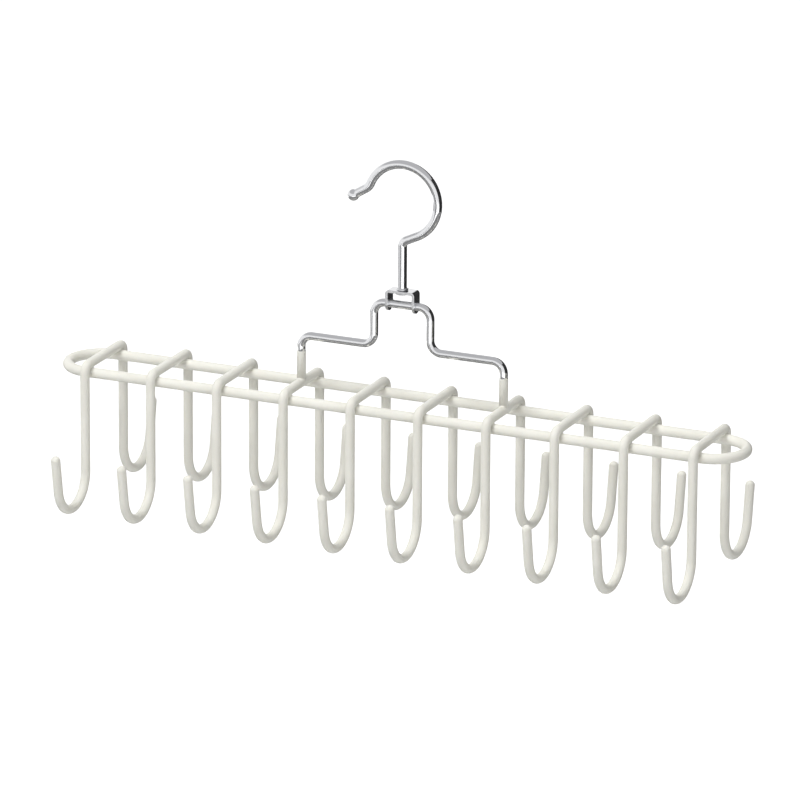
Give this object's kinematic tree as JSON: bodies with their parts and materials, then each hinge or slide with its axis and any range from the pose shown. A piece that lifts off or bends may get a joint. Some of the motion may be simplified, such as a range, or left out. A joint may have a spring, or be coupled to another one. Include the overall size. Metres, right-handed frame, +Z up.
{
  "type": "tie hanger",
  "caption": "Swivelling wire tie hanger: a hook for the wardrobe rod carries a bent frame and a coated ring with a row of upturned double hooks.",
  "frame": {"origin": "middle of the round eye of the hanging hook, on the axis of the rod it hangs from", "axes": "+Z up, +X along the row of double hooks (the hook's open tip points to -X), +Y along the rod"},
  "size_m": [0.3754, 0.1168, 0.1967],
  "materials": {
    "chrome": "bright plated",
    "steel": "drawn wire under the coat",
    "vinyl": "satin off-white dip coat"
  },
  "bodies": {
    "hook": {"hanging_hook": "chrome"},
    "saddle": {"saddle": "chrome"},
    "rack": {"hanger_frame": "chrome", "ring_wire": "steel", "double_hook_01": "steel", "double_hook_02": "steel", "double_hook_03": "steel", "double_hook_04": "steel", "double_hook_05": "steel", "double_hook_06": "steel", "double_hook_07": "steel", "double_hook_08": "steel", "double_hook_09": "steel", "double_hook_10": "steel", "ring_coat": "vinyl", "hook_coat_01": "vinyl", "hook_coat_02": "vinyl", "hook_coat_03": "vinyl", "hook_coat_04": "vinyl", "hook_coat_05": "vinyl", "hook_coat_06": "vinyl", "hook_coat_07": "vinyl", "hook_coat_08": "vinyl", "hook_coat_09": "vinyl", "hook_coat_10": "vinyl", "leg_coat_left": "vinyl", "leg_coat_right": "vinyl"}
  },
  "joints": [
    {"name": "hook_swivel", "type": "hinge", "parent": "hook", "child": "saddle", "pos_m": [0, 0, -0.04676], "axis": [0, 0, 1], "continuous": true},
    {"name": "rack_swing", "type": "hinge", "parent": "saddle", "child": "rack", "pos_m": [0, 0, -0.05386], "axis": [1, 0, 0], "range_deg": [-90, 90]}
  ]
}
